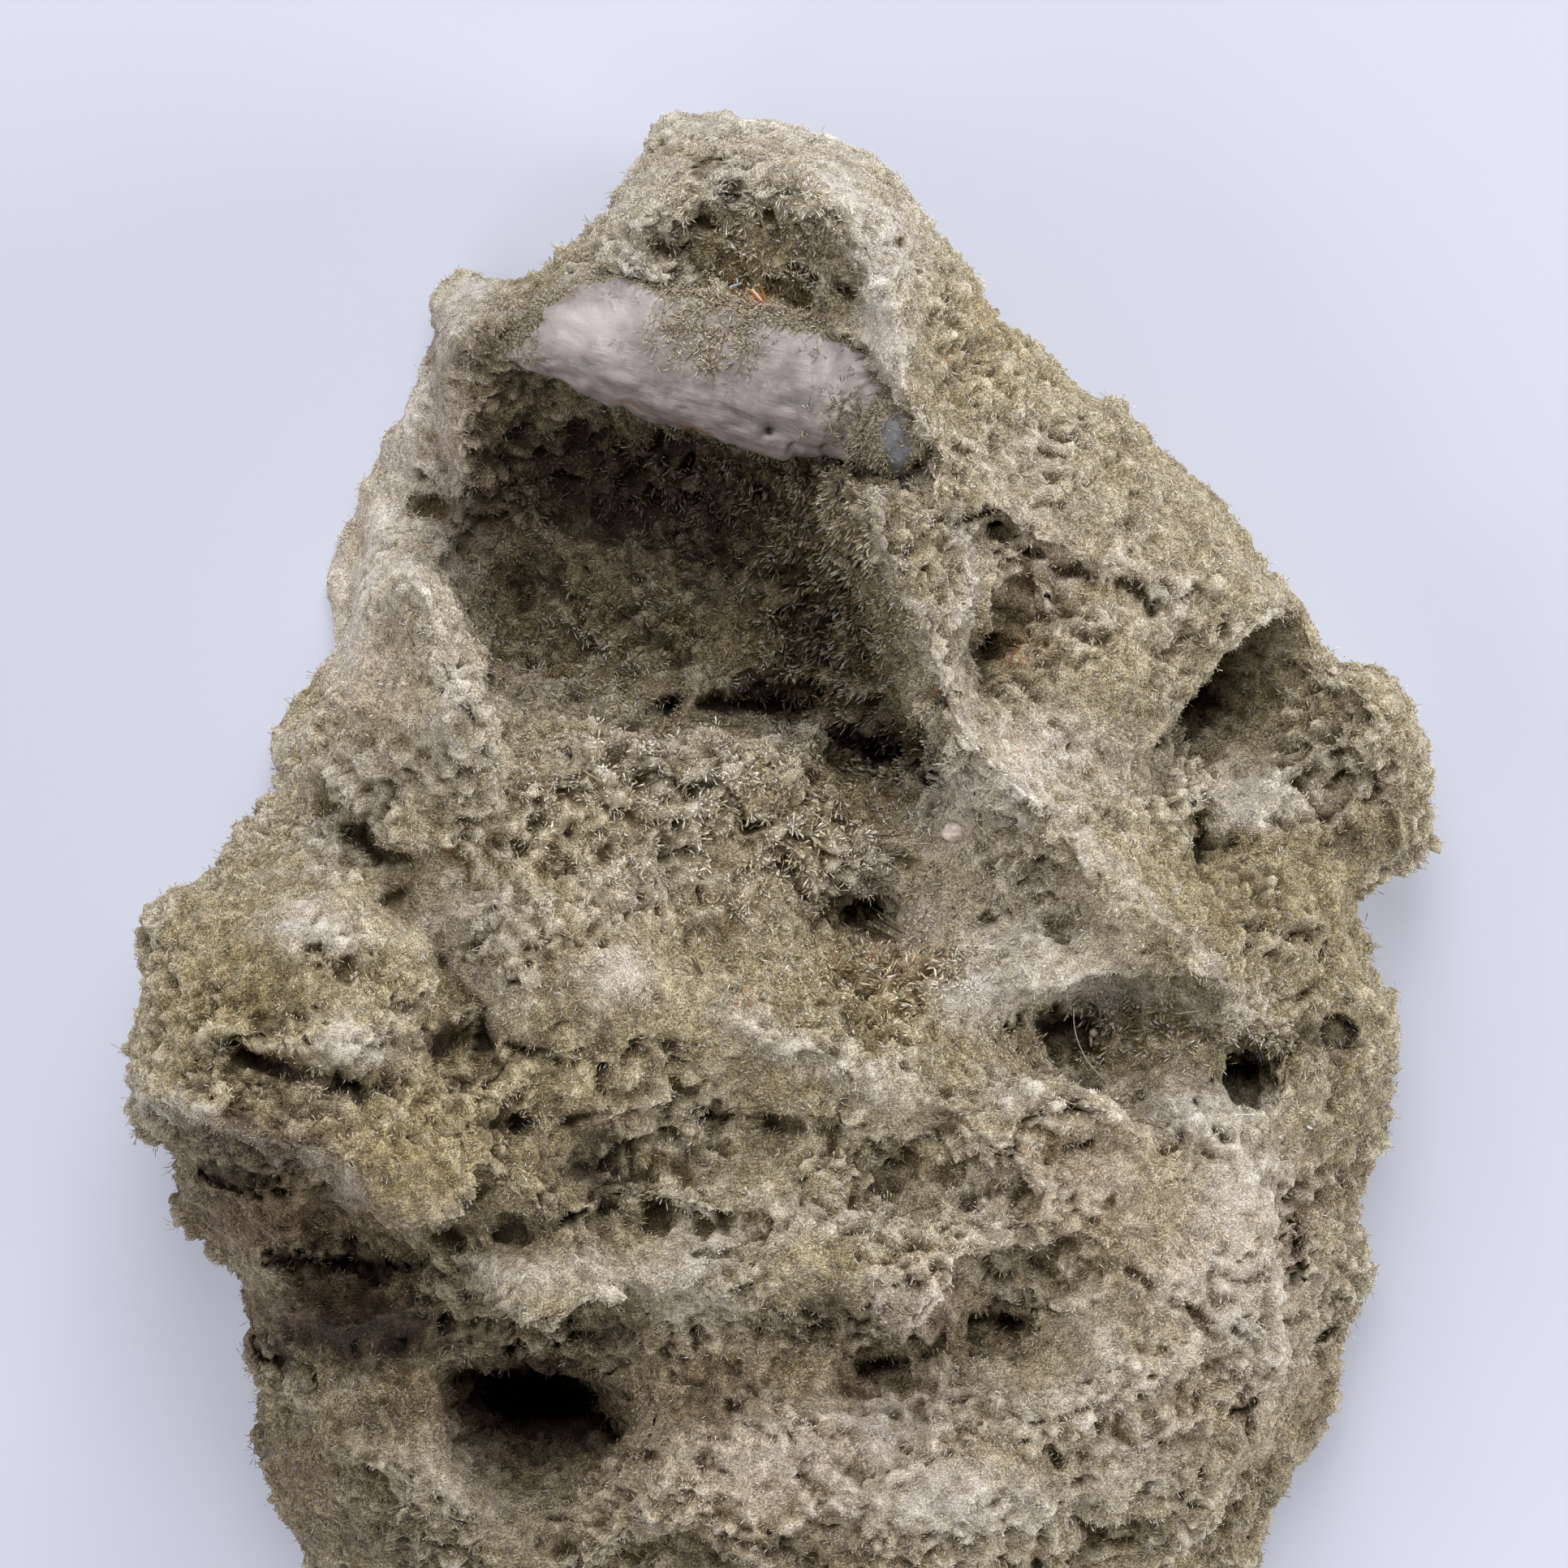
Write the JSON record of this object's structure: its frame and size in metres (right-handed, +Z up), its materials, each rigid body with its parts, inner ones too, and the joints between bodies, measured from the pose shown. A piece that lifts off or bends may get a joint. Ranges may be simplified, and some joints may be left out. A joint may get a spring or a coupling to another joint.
{
  "type": "johannsenite specimen",
  "caption": "Rough lump of matted olive and dusty-white pyroxene needles with a deep hollow, a quartz ledge, a crest and a flat broken base.",
  "frame": {"origin": "on the flat broken base, under the middle of the whole lump's plan", "axes": "+Z up from the base, +Y towards the upper, narrower end with the quartz ledge, +X to the right of it as seen from above"},
  "size_m": [0.0412, 0.0532, 0.0209],
  "materials": {
    "johannsenite": "rough, felted with fine needle crystals, olive-tan with dusty white crests and dark hollows",
    "quartz": "translucent, waxy, pale lilac-white"
  },
  "bodies": {
    "root": {"rock": "johannsenite", "quartz_lens": "quartz"}
  },
  "joints": []
}
